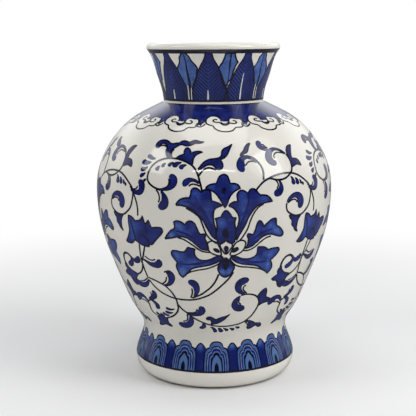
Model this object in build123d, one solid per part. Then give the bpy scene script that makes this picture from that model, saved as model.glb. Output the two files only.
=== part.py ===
# A wide-shouldered baluster vase in glazed pottery, 298 mm tall.
#
# It is built as a potter builds one: five thrown sections and a floor disc, luted together with
# slip at stepped joints, then coated with glaze inside, outside and under the foot. Everything is
# a ring or a disc about +Z, so each piece is drawn as a flat section (radius across, height up)
# and turned once round the axis. The origin is the centre of the foot, on the surface it stands on.

from build123d import *
import os

# ---- driving dimensions, in millimetres ----
height = 298.4  # foot to top of lip
foot_contact_outer = 60.5  # outer radius of the bare ring it stands on
foot_contact_inner = 53.5  # inner radius of that ring
foot_radius = 72.8  # widest place of the flared foot
waist_radius = 65.5  # narrowest place, above the foot
belly_radius = 105.9  # widest place of the body
throat_radius = 44.6  # outside of the neck where it meets the shoulder
mouth_radius = 59.5  # outside of the lip
crown_radius = 55.2  # top of the rounded lip, where the inside and outside coats of glaze meet
waist_height = 43.0
belly_height = 166.0
neck_height = 247.4  # corner between shoulder and neck
lip_height = 292.6  # lower edge of the lip
lip_swell_height = 294.9  # where the lip is widest
lip_corner = (58.3, 297.2)  # where its side rounds over to its top, as (radius, height)
throat_bend = (43.2, 239.6)  # inside corner between shoulder and neck, as (radius, height)

body_wall = 5.2
neck_wall = 4.8
foot_wall = 6.2
floor_bottom = 12.0  # the floor is set up inside the foot, over a shallow recess
floor_top = 18.0
floor_edge = 59.0  # radius of the floor disc
glaze = 0.4  # thickness of every glaze coat
coat_gap = 0.04  # width of the cut that parts the inside coat from the outside one
bare_height = 1.0  # the glaze is wiped off below this, so the foot can't stick in the kiln
slip = 0.8  # thickness of the slip in each joint
joint_step = 3.5  # how much lower the inner half of each joint lies
joint_reach = 20.0  # each joint's section is drawn this far either way, past both faces of the wall
neck_joint_height = 248.0  # just above the corner between shoulder and neck
lip_joint_radius = 53.4  # middle of the wall just below the lip

# ---- finished outside, as (radius, height) from the foot up ----
body_outline = [
    (foot_contact_outer, 0),
    (66.0, 1.8),
    (70.4, 6.4),
    (foot_radius, 13.8),
    (71.0, 24.0),
    (67.3, 34.0),
    (waist_radius, waist_height),
    (66.9, 50.0),
    (73.3, 61.0),
    (83.7, 83.0),
    (93.8, 108.5),
    (101.4, 132.0),
    (belly_radius, belly_height),
    (103.3, 189.5),
    (96.0, 206.0),
    (85.2, 221.5),
    (70.4, 234.0),
    (57.8, 241.0),
    (throat_radius, neck_height),
]
neck_outline = [
    (throat_radius, neck_height),
    (46.1, 258.0),
    (50.5, 272.0),
    (54.4, 285.0),
    (58.5, lip_height),
]

# ---- finished inside, as (radius, height) from the foot up ----
wall_inside = [
    (foot_contact_inner, 0),
    (56.9, 5.5),
    (61.8, 14.0),
    (63.4, 23.0),
    (61.2, 34.0),
    (waist_radius - foot_wall, 44.0),
    (61.2, 52.0),
    (68.6, 63.5),
    (79.4, 85.5),
    (89.3, 110.5),
    (96.3, 133.0),
    (belly_radius - body_wall, belly_height),
    (98.3, 187.5),
    (91.6, 202.5),
    (81.4, 217.0),
    (67.4, 228.8),
    throat_bend,
]
throat_inside = [
    throat_bend,
    (throat_radius - neck_wall, 248.0),
    (41.8, 260.0),
    (45.9, 273.0),
    (49.4, 285.0),
    (52.2, lip_height),
]


def shifted(points, distance):
    """The same outline moved sideways to its left by distance, seen from its start."""
    moved = []
    last = len(points) - 1
    for i, (radius, level) in enumerate(points):
        before, after = points[max(i - 1, 0)], points[min(i + 1, last)]
        along = Vector(after[0] - before[0], after[1] - before[1]).normalized()
        moved.append((radius - along.Y * distance, level + along.X * distance))
    return moved


def wall_section(inset):
    """The whole wall from foot to lip as a flat section, with inset taken off every surface."""
    body = shifted(body_outline, inset)
    neck = shifted(neck_outline, inset)
    inside = shifted(wall_inside, -inset)
    throat = shifted(throat_inside, -inset)
    corner = (neck[0][0], body[-1][1])
    body[0], inside[0] = (body[0][0], 0), (inside[0][0], 0)
    body[-1], neck[0] = corner, corner
    bend = ((inside[-1][0] + throat[0][0]) / 2, (inside[-1][1] + throat[0][1]) / 2)
    inside[-1], throat[0] = bend, bend
    crown = ((neck[-1][0] + throat[-1][0]) / 2, height - inset)
    swell = (mouth_radius - inset, lip_swell_height)
    rounded = (lip_corner[0] - inset * 0.7, lip_corner[1] - inset * 0.7)
    edge = Spline(*body) + Spline(*neck) + Spline(neck[-1], swell, rounded, crown, throat[-1])
    edge += Spline(*throat[::-1]) + Spline(*inside[::-1]) + Line(inside[0], body[0])
    return make_face(edge)


def slab(low, high):
    """A rectangle between two (radius, height) corners."""
    return Pos((low[0] + high[0]) / 2, (low[1] + high[1]) / 2) * Rectangle(
        high[0] - low[0], high[1] - low[1]
    )


def joint_section(level, middle):
    """The slip in one stepped joint: the wall's outer half parts at level, its inner half lower."""
    low = level - joint_step
    inner, outer = middle - joint_reach, middle + joint_reach
    points = [
        (outer, level),
        (middle, level),
        (middle, low),
        (inner, low),
        (inner, low - slip),
        (middle + slip, low - slip),
        (middle + slip, level - slip),
        (outer, level - slip),
    ]
    return make_face(Polyline(*points, close=True))


def turned(section):
    """The solid that a flat section sweeps in one turn about +Z."""
    return revolve(Plane.XZ * section, Axis.Z, 360)


def pieces_by_height(section):
    """The separate faces of a flat section, lowest first."""
    return sorted(section.faces(), key=lambda face: face.center().Y)


# ---- clay: the wall is parted by four slip joints, and the floor stands in the foot ----
clay_wall = wall_section(glaze)
finished_wall = wall_section(0)
joint_places = {
    "waist_slip": (waist_height, waist_radius - foot_wall / 2),
    "belly_slip": (belly_height, belly_radius - body_wall / 2),
    "neck_slip": (neck_joint_height, throat_radius - neck_wall / 2),
    "lip_slip": (lip_height, lip_joint_radius),
}
sections = {}
thrown = clay_wall
for name, (level, middle) in joint_places.items():
    joint = joint_section(level, middle)
    sections[name] = clay_wall & joint
    thrown -= joint
thrown_names = ["foot_ring", "lower_body", "shoulder", "neck", "lip"]
sections.update(zip(thrown_names, pieces_by_height(thrown)))

sections["floor_disc"] = slab((0, floor_bottom), (floor_edge, floor_top))
mid_foot = foot_radius - foot_wall / 2
sections["floor_slip"] = slab((floor_edge, floor_bottom), (mid_foot, floor_top)) - clay_wall

# ---- glaze: three coats, parted at the top of the lip and by the floor ----
floor_glazed = slab((0, floor_bottom - glaze), (mid_foot, floor_top + glaze))
coats = (finished_wall + floor_glazed) - clay_wall
coats -= slab((0, floor_bottom), (mid_foot, floor_top))
coats -= slab((0, 0), (belly_radius, bare_height))
coats -= slab((crown_radius - coat_gap / 2, lip_height), (crown_radius + coat_gap / 2, height + glaze))
coats_by_width = sorted(coats.faces(), key=lambda face: face.bounding_box().max.X)
sections.update(zip(["recess_glaze", "inner_glaze", "outer_glaze"], coats_by_width))

os.makedirs("parts", exist_ok=True)
for name, section in sections.items():
    solid = turned(section)
    solid.label = name
    export_step(solid, f"parts/{name}.step")
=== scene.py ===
# A blue and white baluster vase: its glaze, its painted scrolls, and the studio it stands in.
import math

import bpy
import numpy as np
from mathutils import Matrix, Vector
from mathutils.geometry import delaunay_2d_cdt


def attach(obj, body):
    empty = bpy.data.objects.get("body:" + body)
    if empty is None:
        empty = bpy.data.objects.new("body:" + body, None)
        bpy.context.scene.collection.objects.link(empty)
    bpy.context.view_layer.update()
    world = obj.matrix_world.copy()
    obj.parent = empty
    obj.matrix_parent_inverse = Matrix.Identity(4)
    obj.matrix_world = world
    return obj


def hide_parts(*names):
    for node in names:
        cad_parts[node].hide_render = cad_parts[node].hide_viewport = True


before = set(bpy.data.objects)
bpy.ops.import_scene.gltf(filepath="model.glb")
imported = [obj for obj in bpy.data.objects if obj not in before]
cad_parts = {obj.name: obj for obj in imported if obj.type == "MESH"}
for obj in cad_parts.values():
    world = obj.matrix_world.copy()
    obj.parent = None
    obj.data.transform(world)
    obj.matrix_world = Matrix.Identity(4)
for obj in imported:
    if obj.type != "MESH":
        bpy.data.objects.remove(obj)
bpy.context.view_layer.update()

scene = bpy.context.scene
mm = 0.001
print("frame loaded:", len(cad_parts), "nodes")

# camera and studio
cameraSet = {
    "place": (0.0, -0.9014, 0.3042),
    "down": 9.75,  # degrees below level
    "left": 0.35,  # degrees left of straight ahead
    "roll": 0.34,
    "lens": 86.54,
}


def rimPoint(azimuth, elevation, distance, centre):
    # a point at that distance from centre; azimuth 0 is towards the camera and grows to the right
    a, e = math.radians(azimuth), math.radians(elevation)
    away = Vector((math.sin(a) * math.cos(e), -math.cos(a) * math.cos(e), math.sin(e)))
    return Vector(centre) + away * distance


def placeCamera(settings):
    # forward comes from its two angles, right stays level, up is square to both, then the roll turns both
    down, left, roll = (math.radians(settings[key]) for key in ("down", "left", "roll"))
    forward = Vector((-math.sin(left) * math.cos(down), math.cos(left) * math.cos(down), -math.sin(down)))
    level = Vector((math.cos(left), math.sin(left), 0))
    upright = level.cross(forward)
    right = level * math.cos(roll) - upright * math.sin(roll)
    up = level * math.sin(roll) + upright * math.cos(roll)
    camera = bpy.data.objects.new("camera", bpy.data.cameras.new("camera"))
    scene.collection.objects.link(camera)
    turn = Matrix((right, up, -forward)).transposed().to_4x4()
    camera.matrix_world = Matrix.Translation(settings["place"]) @ turn
    camera.data.lens = settings["lens"]
    scene.camera = camera


placeCamera(cameraSet)
scene.view_settings.view_transform = "Standard"

lightSet = {
    # azimuth, elevation, distance, width, height, watts
    "broadKey": (62, 41, 1.5, 1.02, 1.12, 6.0),
    "keyWindow": (62, 34, 1.5, 0.60, 0.70, 5.6),
    "leftWindow": (-67, 37, 1.5, 0.62, 0.55, 4.6),
    "ceilingTube": (0, 38.6, 2.0, 1.3, 0.03, 3.6),
    "overhead": (10, 86, 1.5, 1.2, 1.2, 9.9),
}
lightAim = (0, 0, 0.19)  # the middle of every light's beam


def placeLight(name, azimuth, elevation, distance, width, height, watts):
    lamp = bpy.data.lights.new(name, "AREA")
    lamp.shape = "RECTANGLE"
    lamp.size, lamp.size_y, lamp.energy = width, height, watts
    light = bpy.data.objects.new(name, lamp)
    scene.collection.objects.link(light)
    aim = Vector(lightAim)
    light.location = rimPoint(azimuth, elevation, distance, aim)
    light.rotation_euler = (aim - light.location).to_track_quat("-Z", "Y").to_euler()
    light.visible_camera = False


for lightName, values in lightSet.items():
    placeLight(lightName, *values)
print("camera and lights placed")


# shader sums
class Wire:
    # wraps a socket, so that a sum written in Python adds the nodes that work it out
    def __init__(self, tree, socket=None):
        self.tree = tree
        self.socket = socket

    def node(self, kind, settings=None, inputs=None, output=0):
        # one node: its settings first, then a value or a wire for each socket, by name or number
        made = self.tree.nodes.new(kind)
        for key, value in (settings or {}).items():
            setattr(made, key, value)
        for key, value in (inputs or {}).items():
            if isinstance(value, Wire):
                self.tree.links.new(value.socket, made.inputs[key])
            else:
                made.inputs[key].default_value = value
        return Wire(self.tree, made.outputs[output] if len(made.outputs) else None)

    def maths(self, operation, *values):
        settings = {"operation": operation}
        return self.node("ShaderNodeMath", settings, dict(enumerate(values)))

    def __add__(self, other):
        return self.maths("ADD", self, other)

    def __sub__(self, other):
        return self.maths("SUBTRACT", self, other)

    def __rsub__(self, other):
        return self.maths("SUBTRACT", other, self)

    def __mul__(self, other):
        return self.maths("MULTIPLY", self, other)

    __radd__ = __add__
    __rmul__ = __mul__

    def between(self, low, high):
        # 0 below low, 1 above high, and a smooth step from one to the other
        settings = {"interpolation_type": "SMOOTHSTEP"}
        return self.node("ShaderNodeMapRange", settings, {0: self, 1: low, 2: high, 3: 0.0, 4: 1.0})

    def mixed(self, low, high):
        # a colour that goes from low to high as this goes from 0 to 1
        low, high = ((*c, 1) if isinstance(c, tuple) else c for c in (low, high))
        return self.node("ShaderNodeMix", {"data_type": "RGBA"}, {0: self, 6: low, 7: high}, 2)

    def noise(self, scale, detail=2.0):
        # smooth noise from 0 to 1 over the object's own coordinates, scale in waves a metre
        place = self.node("ShaderNodeTexCoord", output=3)
        inputs = {"Vector": place, "Scale": scale, "Detail": detail}
        return self.node("ShaderNodeTexNoise", {}, inputs)


def newMaterial(name):
    material = bpy.data.materials.new(name)
    material.use_nodes = True
    material.node_tree.nodes.clear()
    return material, Wire(material.node_tree)


def finishMaterial(wire, colour, roughness, normal, **fixed):
    inputs = {"Base Color": colour, "Roughness": roughness, "Normal": normal}
    inputs.update({key.replace("_", " "): value for key, value in fixed.items()})
    shader = wire.node("ShaderNodeBsdfPrincipled", {}, inputs)
    wire.node("ShaderNodeOutputMaterial", {}, {"Surface": shader})


def glazeGloss(wire):
    return wire.noise(glazeSet["glossScale"]) * glazeSet["glossSpread"] + glazeSet["glossLow"]


def glazeBump(wire):
    # the same slow waves and faint ripple under every coat, so that reflections run on across the strokes
    height = wire.noise(glazeSet["waveScale"]) * glazeSet["waveDepth"]
    height = height + wire.noise(glazeSet["rippleScale"]) * glazeSet["rippleDepth"]
    return wire.node("ShaderNodeBump", {}, {"Strength": 1.0, "Distance": 1.0, "Height": height})


glazeSet = {
    "white": (0.790, 0.765, 0.695),
    "shade": (0.745, 0.730, 0.668),
    # painted light: a lighter glaze colour for the foot, standing in for light bounced up from the floor
    "footPaintedLight": (0.930, 0.905, 0.835),
    "glossScale": 60,
    "glossSpread": 0.04,
    "glossLow": 0.05,
    "waveScale": 22,
    "waveDepth": 0.00010,
    "rippleScale": 130,
    "rippleDepth": 0.000010,
}


def whiteGlaze():
    # off-white with slow cloudy patches, a few faint specks, and painted light round the foot: the glaze
    # there is painted lighter in place of the light bounced up from the floor
    material, wire = newMaterial("whiteGlaze")
    cloud = wire.noise(18, 3.0).between(0.3, 0.7)
    colour = cloud.mixed(glazeSet["shade"], glazeSet["white"])
    high = wire.node("ShaderNodeSeparateXYZ", {}, {0: wire.node("ShaderNodeTexCoord", output=3)}, 2)
    # painted light: below 15 to 20 mm of height the glaze is painted lighter in place of the floor's bounced
    # light
    colour = high.between(0.015, 0.020).mixed(glazeSet["footPaintedLight"], colour)
    speck = wire.noise(900, 1.0).between(0.74, 0.80) * 0.35
    colour = speck.mixed(colour, (0.42, 0.38, 0.32))
    finishMaterial(wire, colour, glazeGloss(wire), glazeBump(wire), IOR=1.5)
    return material


cobaltSet = {
    "outlineDark": (0.0045, 0.0045, 0.016),
    "outlineLight": (0.011, 0.012, 0.048),
    "deepDark": (0.0075, 0.0105, 0.075),
    "deepLight": (0.0150, 0.0230, 0.175),
    "washDark": (0.0110, 0.0180, 0.140),
    "washMid": (0.030, 0.066, 0.300),
    "washPale": (0.095, 0.185, 0.420),
    "washFaint": (0.360, 0.360, 0.620),
}


def cobaltOutline():
    # almost black where the brush is loaded, navy where it runs thin
    material, wire = newMaterial("cobaltOutline")
    thin = wire.noise(240, 2.0).between(0.40, 0.75)
    colour = thin.mixed(cobaltSet["outlineDark"], cobaltSet["outlineLight"])
    finishMaterial(wire, colour, glazeGloss(wire), glazeBump(wire), IOR=1.5)
    return material


def cobaltDeep():
    # a thick blue that pools dark in patches; the wash attribute thins it
    material, wire = newMaterial("cobaltDeep")
    pool = wire.noise(130, 3.0).between(0.30, 0.72)
    colour = pool.mixed(cobaltSet["deepDark"], cobaltSet["deepLight"])
    thin = wire.node("ShaderNodeAttribute", {"attribute_name": "wash"}, output=2)
    grain = wire.noise(420, 2.0) * 0.5 - 0.25
    thin = (thin + grain * thin).between(0.0, 1.0)
    colour = thin.mixed(colour, cobaltSet["washMid"])
    finishMaterial(wire, colour, glazeGloss(wire), glazeBump(wire), IOR=1.5)
    return material


def cobaltWash():
    # a watered blue: the wash attribute goes from deep at 0 through mid blue to pale at 1 and lilac at 2
    material, wire = newMaterial("cobaltWash")
    wash = wire.node("ShaderNodeAttribute", {"attribute_name": "wash"}, output=2)
    wash = wash + (wire.noise(150, 3.0) - 0.5) * 0.85 + (wire.noise(520, 2.0) - 0.5) * 0.35
    colour = wash.between(0.0, 0.55).mixed(cobaltSet["washDark"], cobaltSet["washMid"])
    colour = wash.between(0.45, 1.05).mixed(colour, cobaltSet["washPale"])
    colour = wash.between(1.4, 2.0).mixed(colour, cobaltSet["washFaint"])
    finishMaterial(wire, colour, glazeGloss(wire), glazeBump(wire), IOR=1.5)
    return material


def firedClay():
    # pale buff clay, dry and finely gritty, with darker grains
    material, wire = newMaterial("firedClay")
    colour = wire.noise(90, 4.0).mixed((0.55, 0.49, 0.41), (0.68, 0.62, 0.53))
    grain = wire.noise(1500, 2.0).between(0.62, 0.75)
    colour = (grain * 0.6).mixed(colour, (0.30, 0.25, 0.20))
    height = wire.noise(1200, 3.0) * 0.00006 + wire.noise(220, 2.0) * 0.00008
    bump = wire.node("ShaderNodeBump", {}, {"Strength": 1.0, "Distance": 1.0, "Height": height})
    finishMaterial(wire, colour, wire.noise(300) * 0.2 + 0.7, bump)
    return material


def joiningSlip():
    # the same clay let down with water: smoother and a little paler
    material, wire = newMaterial("joiningSlip")
    colour = wire.noise(160, 3.0).mixed((0.60, 0.55, 0.47), (0.70, 0.65, 0.57))
    height = wire.noise(500, 2.0) * 0.00004
    bump = wire.node("ShaderNodeBump", {}, {"Strength": 1.0, "Distance": 1.0, "Height": height})
    finishMaterial(wire, colour, wire.noise(200) * 0.15 + 0.6, bump)
    return material


makers = (whiteGlaze, cobaltOutline, cobaltDeep, cobaltWash, firedClay, joiningSlip)
materials = {make.__name__: make() for make in makers}
slipNodes = ("floor_slip", "waist_slip", "belly_slip", "neck_slip", "lip_slip")
for nodeName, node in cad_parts.items():
    finish = "joiningSlip" if nodeName in slipNodes else "firedClay"
    if nodeName.endswith("glaze"):
        finish = "whiteGlaze"
    node.data.materials.clear()
    node.data.materials.append(materials[finish])
print("materials made")


# glaze coats, turned from the profile of the fixed frame
coatSet = {
    "segments": 320,
    "seenRings": 220,
    "hiddenRings": 50,
    "thickness": 0.4 * mm,
    "bendWeight": 14 * mm,  # how much closer the rings lie where the profile bends, per radian
}
sharpEdge = 35  # degrees between two faces from which their edge is left sharp


def seenProfile(nodeName, facesOut):
    # (radius, height) up the seen face of a coat: the corners of its triangles that face out, or in
    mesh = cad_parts[nodeName].data
    points = np.empty(len(mesh.vertices) * 3)
    mesh.vertices.foreach_get("co", points)
    normals = np.empty(len(mesh.polygons) * 3)
    mesh.polygons.foreach_get("normal", normals)
    corners = np.empty(len(mesh.polygons) * 3, int)
    mesh.polygons.foreach_get("vertices", corners)
    points, normals, corners = points.reshape(-1, 3), normals.reshape(-1, 3), corners.reshape(-1, 3)
    middle = points[corners].mean(1)
    outward = (normals[:, :2] * middle[:, :2]).sum(1) / np.maximum(np.hypot(*middle[:, :2].T), 1e-6)
    seen = outward > 0.02 if facesOut else outward < -0.02
    chosen = points[np.unique(corners[seen])]
    height = np.round(chosen[:, 2], 7)
    radius = np.hypot(chosen[:, 0], chosen[:, 1])
    levels, which = np.unique(height, return_inverse=True)
    total = np.bincount(which, radius) / np.bincount(which)
    return total, levels


def ringPlaces(radius, height, count):
    # places along a profile, spaced by its length plus a share of how much it has bent
    step = np.hypot(np.diff(radius), np.diff(height))
    along = np.concatenate(([0], np.cumsum(step)))
    even = np.linspace(0, along[-1], 1200)
    r, z = np.interp(even, along, radius), np.interp(even, along, height)
    bend = np.abs(np.gradient(np.unwrap(np.arctan2(np.gradient(z), np.gradient(r)))))
    bend = np.convolve(bend, np.ones(9) / 9, "same")
    weight = np.cumsum(np.diff(even, prepend=0) + bend * coatSet["bendWeight"])
    places = np.interp(np.linspace(weight[0], weight[-1], count), weight, even)
    return np.interp(places, along, radius), np.interp(places, along, height)


def shiftedProfile(radius, height, distance):
    # the profile moved sideways to its left by distance
    across, up = np.gradient(radius), np.gradient(height)
    size = np.maximum(np.hypot(across, up), 1e-12)
    return radius - up / size * distance, height + across / size * distance


def turnedPiece(name, radius, height, closed):
    # point (i, j) = (radius i x sin angle j, -radius i x cos angle j, height i), and a row of points that
    # lies on the axis is one pole
    count = coatSet["segments"]
    angle = np.linspace(0, 2 * np.pi, count, endpoint=False)
    poles = radius < 1e-6
    first = np.cumsum(np.where(poles, 1, count)) - np.where(poles, 1, count)
    rows = [first[i] + (np.zeros(count, int) if poles[i] else np.arange(count)) for i in range(len(radius))]
    points = np.concatenate([
        np.stack((r * np.sin(angle), -r * np.cos(angle), np.full(count, z)), 1)[: 1 if pole else count]
        for r, z, pole in zip(radius, height, poles)
    ])
    if closed:
        rows.append(rows[0])
    faces = []
    for low, high in zip(rows[:-1], rows[1:]):
        quads = np.stack((low, np.roll(low, -1), np.roll(high, -1), high), 1)
        if low[0] == low[1]:
            quads = quads[:, (0, 2, 3)]
        elif high[0] == high[1]:
            quads = quads[:, (0, 1, 2)]
        faces += quads.tolist()
    mesh = bpy.data.meshes.new(name)
    mesh.from_pydata(points.tolist(), [], faces)
    return finishPiece(name, mesh, "whiteGlaze")


def finishPiece(name, mesh, finish):
    mesh.update()
    mesh.validate()
    mesh.shade_smooth()
    mesh.set_sharp_from_angle(angle=math.radians(sharpEdge))
    mesh.materials.append(materials[finish])
    piece = bpy.data.objects.new(name, mesh)
    scene.collection.objects.link(piece)
    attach(piece, "root")
    return piece


wallRadius, wallHeight = seenProfile("outer_glaze", True)
outerR, outerZ = ringPlaces(wallRadius, wallHeight, coatSet["seenRings"])
thinR, thinZ = ringPlaces(wallRadius, wallHeight, coatSet["hiddenRings"])
backR, backZ = shiftedProfile(thinR, thinZ, coatSet["thickness"])
outerCoat = turnedPiece(
    "glaze_outside", np.concatenate((outerR, backR[::-1])), np.concatenate((outerZ, backZ[::-1])), True
)
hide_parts("outer_glaze")

insideR, insideZ = seenProfile("inner_glaze", False)
innerR, innerZ = ringPlaces(insideR, insideZ, coatSet["seenRings"])
thinR, thinZ = ringPlaces(insideR, insideZ, coatSet["hiddenRings"])
backR, backZ = shiftedProfile(thinR, thinZ, -coatSet["thickness"])
floorR = np.linspace(0, innerR[0], 12)[:-1]
floorZ = np.full(11, innerZ[0])
seenR, seenZ = np.concatenate((floorR, innerR)), np.concatenate((floorZ, innerZ))
backZ[0] = innerZ[0] - coatSet["thickness"]
hiddenR = np.concatenate((backR[::-1], [0]))
hiddenZ = np.concatenate((backZ[::-1], [innerZ[0] - coatSet["thickness"]]))
innerCoat = turnedPiece(
    "glaze_inside", np.concatenate((seenR, hiddenR))[::-1], np.concatenate((seenZ, hiddenZ))[::-1], False
)
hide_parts("inner_glaze")
print("glaze coats turned")


paintDepth = 0.05  # how far the underside of the painting lies below the surface, in millimetres

# the outside as a sheet: degrees round it, and millimetres of height
sheetZ = np.arange(1.0, 300.01, 0.25)
sheetR = np.interp(sheetZ, wallHeight / mm, wallRadius / mm)
sheetSlope = np.gradient(np.convolve(np.pad(sheetR, 2, "edge"), np.ones(5) / 5, "valid"), sheetZ)


def scaleAt(height):
    # millimetres to a degree, and millimetres along the wall to one of height
    slope = np.interp(height, sheetZ, sheetSlope)
    return np.interp(height, sheetZ, sheetR) * np.pi / 180, np.hypot(1, slope)


def onWall(degrees, height, lift):
    # the point of the wall at that angle and height, moved out along its normal by lift
    radius, slope = np.interp(height, sheetZ, sheetR), np.interp(height, sheetZ, sheetSlope)
    size = np.hypot(1, slope)
    radius, level = radius + lift / size, height - lift * slope / size
    angle = np.radians(degrees)
    return np.stack((radius * np.sin(angle), -radius * np.cos(angle), level), -1) * mm


def smoothLine(points, step=1.1, closed=False):
    # a cubic through every point; its slope there is the parabola's through the point and its neighbours
    p = np.array(points, float)
    if closed:
        p = np.concatenate((p[-2:], p, p[:3]))
    middle = (p[1:] + p[:-1]) / 2
    across, up = scaleAt(middle[:, 1])
    gap = np.diff(p, axis=0)
    length = np.maximum(np.hypot(gap[:, 0] * across, gap[:, 1] * up), 1e-6)
    place = np.concatenate(([0], np.cumsum(length)))
    pace = gap / length[:, None]
    if len(p) > 2:
        behind, ahead = length[:-1, None], length[1:, None]
        inside = (pace[:-1] * ahead + pace[1:] * behind) / (behind + ahead)
        slopes = np.concatenate(([2 * pace[0] - inside[0]], inside, [2 * pace[-1] - inside[-1]]))
    else:
        slopes = np.concatenate((pace, pace))
    start, end = (place[2], place[-3]) if closed else (0, place[-1])
    count = max(3, int(np.ceil((end - start) / step)) + 1)
    at = np.linspace(start, end, count)
    k = np.clip(np.searchsorted(place, at, "right") - 1, 0, len(length) - 1)
    h = length[k][:, None]
    x = ((at - place[k]) / length[k])[:, None]
    line = (
        p[k] * (1 + 2 * x) * (1 - x) ** 2
        + slopes[k] * h * x * (1 - x) ** 2
        + p[k + 1] * x**2 * (3 - 2 * x)
        - slopes[k + 1] * h * x**2 * (1 - x)
    )
    return line[:-1] if closed else line


def outlineOf(points, step=1.1):
    # a closed outline: smooth between the points marked 1, which are corners
    corners = [i for i, p in enumerate(points) if len(p) == 3]
    flat = [p[:2] for p in points]
    if not corners:
        return smoothLine(flat, step, closed=True)
    flat = flat[corners[0]:] + flat[: corners[0]] + [flat[corners[0]]]
    corners = [i - corners[0] for i in corners] + [len(flat) - 1]
    runs = [smoothLine(flat[a : b + 1], step)[:-1] for a, b in zip(corners[:-1], corners[1:])]
    return np.concatenate(runs)


def ribbon(spine, across=1, inset=0.0, least=0.22):
    # a brush line along spine (degrees, height, half width): cross rows square to it, with round ends
    width = spine[:, 2] - inset
    keep = np.nonzero(width > least)[0]
    if len(keep) < 3:
        return None
    spine, width = spine[keep[0] : keep[-1] + 1], np.maximum(width[keep[0] : keep[-1] + 1], least)
    sx, sy = scaleAt(spine[:, 1])
    gap = np.hypot(np.diff(spine[:, 0]) * sx[1:], np.diff(spine[:, 1]) * sy[1:])
    along = np.concatenate(([0], np.cumsum(gap)))
    ends = np.outer((0.04, 0.15, 0.4, 0.7, 1.0), (width[0], width[-1]))
    places = np.concatenate(([0], ends[:, 0], along[1:-1], along[-1] - ends[:, 1], [along[-1]]))
    at = np.unique(places.clip(0, along[-1]))
    phi, z, w = (np.interp(at, along, values) for values in (spine[:, 0], spine[:, 1], width))
    for edge, radius in ((at, width[0]), (along[-1] - at, width[-1])):
        w = w * np.sqrt(1 - (1 - np.minimum(edge / radius, 1)) ** 2)
    w = np.maximum(w, 0.05)
    sx, sy = scaleAt(z)
    tx, ty = np.gradient(phi) * sx, np.gradient(z) * sy
    size = np.maximum(np.hypot(tx, ty), 1e-9)
    side = np.linspace(-1, 1, across + 1)
    grid = np.stack((
        phi[:, None] + (-ty / size * w / sx)[:, None] * side,
        z[:, None] + (tx / size * w / sy)[:, None] * side,
    ), -1)
    n, m = len(at), across + 1
    index = np.arange(n * m).reshape(n, m)
    faces = np.stack((index[:-1, :-1], index[1:, :-1], index[1:, 1:], index[:-1, 1:]), -1).reshape(-1, 4)
    return grid.reshape(-1, 2), faces.tolist()


def stroke(points, width=0.55):
    # a line of one width through points, or of the widths given as their third numbers
    if len(points[0]) == 2:
        points = [(*p, width) for p in points]
    return ribbon(smoothLine(points))


def edgeStroke(outline, width):
    # a line of one width along a closed outline that is already smooth
    loop = np.concatenate((outline, outline[:1]))
    return ribbon(np.column_stack((loop, np.full(len(loop), width))))


def filled(outline, spacing=2.6):
    # triangles inside a closed outline, with a lattice of points inside it, so that they follow the wall
    across, up = scaleAt(outline[:, 1].mean())
    scale = np.array((across, up))
    edge = outline * scale
    low, high = edge.min(0), edge.max(0)
    x, y = np.meshgrid(np.arange(low[0], high[0], spacing), np.arange(low[1], high[1], spacing * 0.866))
    x = x + (np.arange(len(x)) % 2)[:, None] * spacing / 2
    inner = np.stack((x.ravel(), y.ravel()), 1)
    a, b = edge, np.roll(edge, -1, 0)
    crosses = (a[:, 1] > inner[:, None, 1]) != (b[:, 1] > inner[:, None, 1])
    rise = np.where(np.abs(b[:, 1] - a[:, 1]) < 1e-9, 1e-9, b[:, 1] - a[:, 1])
    reach = a[:, 0] + (inner[:, None, 1] - a[:, 1]) / rise * (b[:, 0] - a[:, 0])
    inside = (crosses & (inner[:, None, 0] < reach)).sum(1) % 2 == 1
    far = np.hypot(*(inner[:, None] - edge).transpose(2, 0, 1)).min(1) > spacing * 0.45
    inner = inner[inside & far]
    corners = [Vector(p) for p in np.concatenate((edge, inner))]
    points, _, faces, *_ = delaunay_2d_cdt(corners, [], [list(range(len(edge)))], 1, 1e-5)
    points = np.array(points)
    faces = np.array(faces)
    u, v = points[faces[:, 1]] - points[faces[:, 0]], points[faces[:, 2]] - points[faces[:, 0]]
    turned = u[:, 0] * v[:, 1] - u[:, 1] * v[:, 0] < 0
    faces[turned] = faces[turned][:, ::-1]
    return points / scale, faces.tolist()


def paintPiece(name, patches, finish, lift, turns=1, spots=(), base=0.0):
    # closed slabs: the flat patches lifted off the wall, the same sunk into it, and walls along their edges
    patches = [p for p in patches if p is not None]
    starts = np.cumsum([0] + [len(p[0]) for p in patches])
    flat = np.concatenate([p[0] for p in patches])
    faces = [
        [corner + start for corner in face] for (_, own), start in zip(patches, starts) for face in own
    ]
    count = len(flat)
    pairs = np.array([(a, b) for face in faces for a, b in zip(face, face[1:] + face[:1])])
    border = pairs[~np.isin(pairs[:, 0] * count + pairs[:, 1], pairs[:, 1] * count + pairs[:, 0])]
    walls = np.stack((border[:, 1], border[:, 0], border[:, 0] + count, border[:, 1] + count), 1).tolist()
    under = [[corner + count for corner in reversed(face)] for face in faces]
    shell = faces + under + walls
    wash = np.full(count, float(base))
    for degrees, height, size, amount in spots:
        across, up = scaleAt(height)
        far = np.hypot((flat[:, 0] - degrees) * across, (flat[:, 1] - height) * up) / size
        wash += amount * np.exp(-(far**2))
    points, washes, allFaces = [], [], []
    for turn in range(turns):
        degrees, height = flat[:, 0] + 360 / turns * turn, flat[:, 1]
        points += [onWall(degrees, height, lift), onWall(degrees, height, -paintDepth)]
        washes += [wash, wash]
        allFaces += [[corner + 2 * count * turn for corner in face] for face in shell] if turn else shell
    mesh = bpy.data.meshes.new(name)
    mesh.from_pydata(np.concatenate(points).tolist(), [], allFaces)
    attribute = mesh.attributes.new("wash", "FLOAT", "POINT")
    attribute.data.foreach_set("value", np.concatenate(washes).astype(np.float32))
    return finishPiece(name, mesh, finish)


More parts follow.
